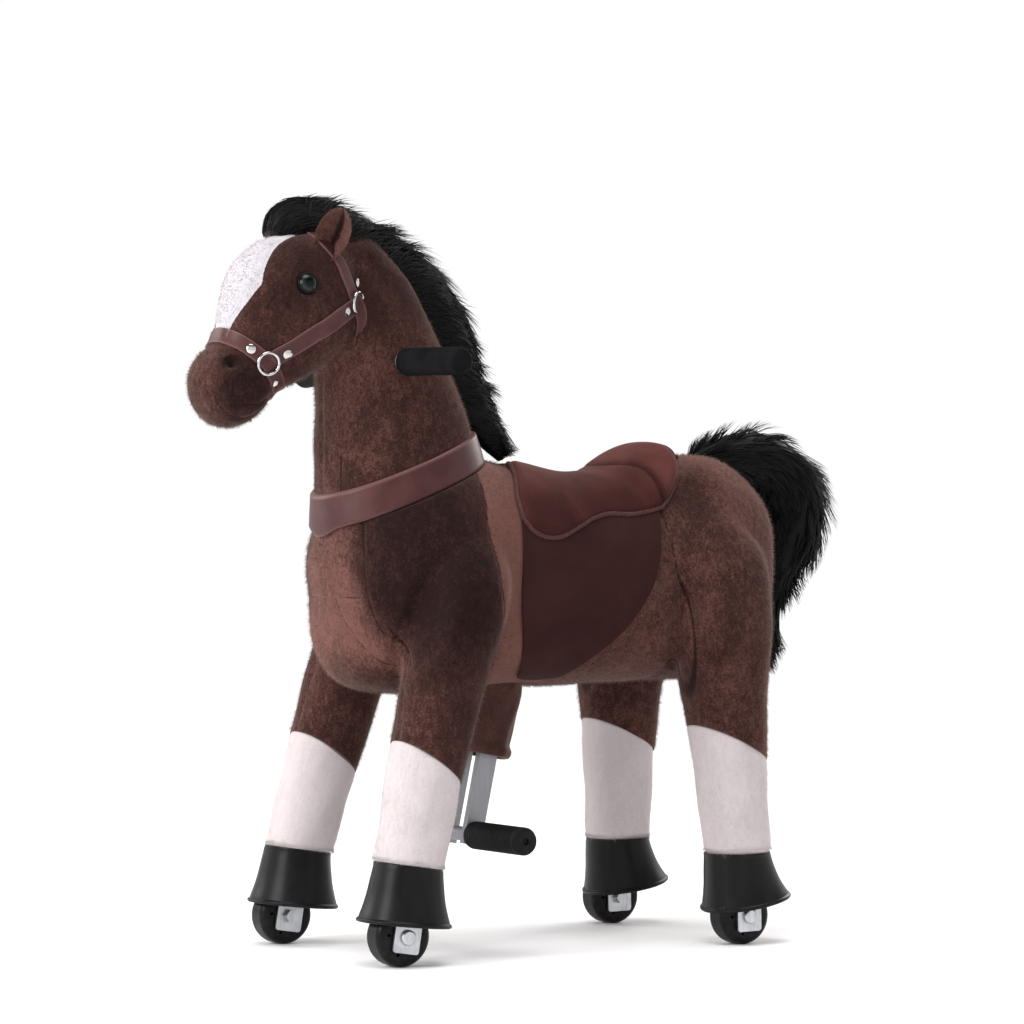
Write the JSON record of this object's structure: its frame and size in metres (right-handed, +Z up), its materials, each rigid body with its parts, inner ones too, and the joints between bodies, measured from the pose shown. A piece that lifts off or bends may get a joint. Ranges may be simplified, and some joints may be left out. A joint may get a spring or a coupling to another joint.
{
  "type": "plush ride-on horse on wheels",
  "caption": "Plush ride-on horse whose linked front and rear legs swing on a hidden steel frame when the footpegs are pressed, with wheels under the hooves and a head that steers by grips.",
  "frame": {"origin": "on the floor below the middle of the horse's bounding box", "axes": "+X the way the horse faces, +Y to its left, +Z up"},
  "size_m": [0.725, 0.329, 0.7399],
  "materials": {
    "frame_steel": "satin grey coat",
    "bright_steel": "zinc plated",
    "nylon": "matte",
    "board": "plain plywood",
    "plush": "short pile plush",
    "white_plush": "short pile plush",
    "hair": "long pile plush",
    "saddle_suede": "suede",
    "cloth_suede": "suede",
    "boot_cloth": "woven",
    "hoof_vinyl": "smooth black vinyl",
    "wheel_rubber": "semi matte",
    "grip_foam": "foam",
    "peg_rubber": "knurled",
    "eye_gloss": "polished",
    "tack_leather": "smooth",
    "tack_chrome": "polished"
  },
  "bodies": {
    "body": {"seat_beam": "frame_steel", "pivot_pins": "bright_steel", "pivot_nuts": "bright_steel", "pedal_guides": "nylon", "head_bushes": "nylon", "seat_board": "board", "torso": "plush", "front_shoulders": "plush", "rear_hips": "plush", "saddle": "saddle_suede", "saddle_cloth": "cloth_suede", "belly_boot": "boot_cloth", "tail": "hair"},
    "front_legs": {"front_leg_frame": "frame_steel", "front_left_leg": "plush", "front_right_leg": "plush", "front_left_sock": "white_plush", "front_right_sock": "white_plush", "front_left_hoof": "hoof_vinyl", "front_right_hoof": "hoof_vinyl"},
    "rear_legs": {"rear_leg_frame": "frame_steel", "rear_left_leg": "plush", "rear_right_leg": "plush", "rear_left_sock": "white_plush", "rear_right_sock": "white_plush", "rear_left_hoof": "hoof_vinyl", "rear_right_hoof": "hoof_vinyl", "rear_left_fork": "bright_steel", "rear_right_fork": "bright_steel", "rear_fork_bolts": "bright_steel"},
    "front_left_caster": {"front_left_fork": "bright_steel", "front_left_bolts": "bright_steel"},
    "front_right_caster": {"front_right_fork": "bright_steel", "front_right_bolts": "bright_steel"},
    "front_left_wheel": {"front_left_tyre": "wheel_rubber", "front_left_hub": "nylon"},
    "front_right_wheel": {"front_right_tyre": "wheel_rubber", "front_right_hub": "nylon"},
    "rear_left_wheel": {"rear_left_tyre": "wheel_rubber", "rear_left_hub": "nylon"},
    "rear_right_wheel": {"rear_right_tyre": "wheel_rubber", "rear_right_hub": "nylon"},
    "head": {"steering_post": "bright_steel", "handlebar": "frame_steel", "grip_left": "grip_foam", "grip_right": "grip_foam", "neck": "plush", "head": "plush", "ears": "plush", "eyes": "eye_gloss", "mane": "hair", "halter": "tack_leather", "halter_rings": "tack_chrome", "halter_rivets": "tack_chrome", "collar": "tack_leather"},
    "pedals": {"pedal_frame": "bright_steel", "pedal_grips": "peg_rubber"},
    "front_links": {"front_links": "frame_steel"},
    "rear_links": {"rear_links": "frame_steel"}
  },
  "joints": [
    {"name": "front_legs_swing", "type": "hinge", "parent": "body", "child": "front_legs", "pos_m": [0.135, 0, 0.385], "axis": [0, 1, 0], "range_deg": [0, 12]},
    {"name": "rear_legs_swing", "type": "hinge", "parent": "body", "child": "rear_legs", "pos_m": [-0.16, 0, 0.385], "axis": [0, -1, 0], "range_deg": [0, 12]},
    {"name": "pedal_slide", "type": "slide", "parent": "body", "child": "pedals", "axis": [0.2079, 0, -0.9781], "range_m": [0, 0.0138]},
    {"name": "front_links_swing", "type": "hinge", "parent": "front_legs", "child": "front_links", "pos_m": [0.13946, 0, 0.36346], "axis": [0, 1, 0], "range_deg": [-18.9, 0]},
    {"name": "rear_links_swing", "type": "hinge", "parent": "rear_legs", "child": "rear_links", "pos_m": [-0.16217, 0, 0.35408], "axis": [0, -1, 0], "range_deg": [-16.2, 0]},
    {"name": "steer", "type": "hinge", "parent": "body", "child": "head", "pos_m": [0.1381, 0, 0.447], "axis": [0.3746, 0, 0.9272], "range_deg": [-20, 20]},
    {"name": "front_left_turn", "type": "hinge", "parent": "front_legs", "child": "front_left_caster", "pos_m": [0.207, 0.119, 0.0285], "axis": [-0.1564, 0, 0.9877], "range_deg": [-20, 20]},
    {"name": "front_right_turn", "type": "hinge", "parent": "front_legs", "child": "front_right_caster", "pos_m": [0.207, -0.119, 0.0285], "axis": [-0.1564, 0, 0.9877], "range_deg": [-20, 20]},
    {"name": "front_left_spin", "type": "hinge", "parent": "front_left_caster", "child": "front_left_wheel", "pos_m": [0.207, 0.119, 0.0285], "axis": [0, 1, 0], "continuous": true},
    {"name": "front_right_spin", "type": "hinge", "parent": "front_right_caster", "child": "front_right_wheel", "pos_m": [0.207, -0.119, 0.0285], "axis": [0, 1, 0], "continuous": true},
    {"name": "rear_left_spin", "type": "hinge", "parent": "rear_legs", "child": "rear_left_wheel", "pos_m": [-0.183, 0.119, 0.0285], "axis": [0, 1, 0], "continuous": true},
    {"name": "rear_right_spin", "type": "hinge", "parent": "rear_legs", "child": "rear_right_wheel", "pos_m": [-0.183, -0.119, 0.0285], "axis": [0, 1, 0], "continuous": true}
  ],
  "couplings": [
    {"joint": "rear_legs_swing", "follows": "front_legs_swing", "ratio": 1},
    {"joint": "pedal_slide", "follows": "front_legs_swing", "m_per_rad": 0.065317},
    {"joint": "front_links_swing", "follows": "front_legs_swing", "ratio": -1.565},
    {"joint": "rear_links_swing", "follows": "front_legs_swing", "ratio": -1.339},
    {"joint": "front_left_turn", "follows": "steer", "ratio": 1},
    {"joint": "front_right_turn", "follows": "steer", "ratio": 1}
  ]
}
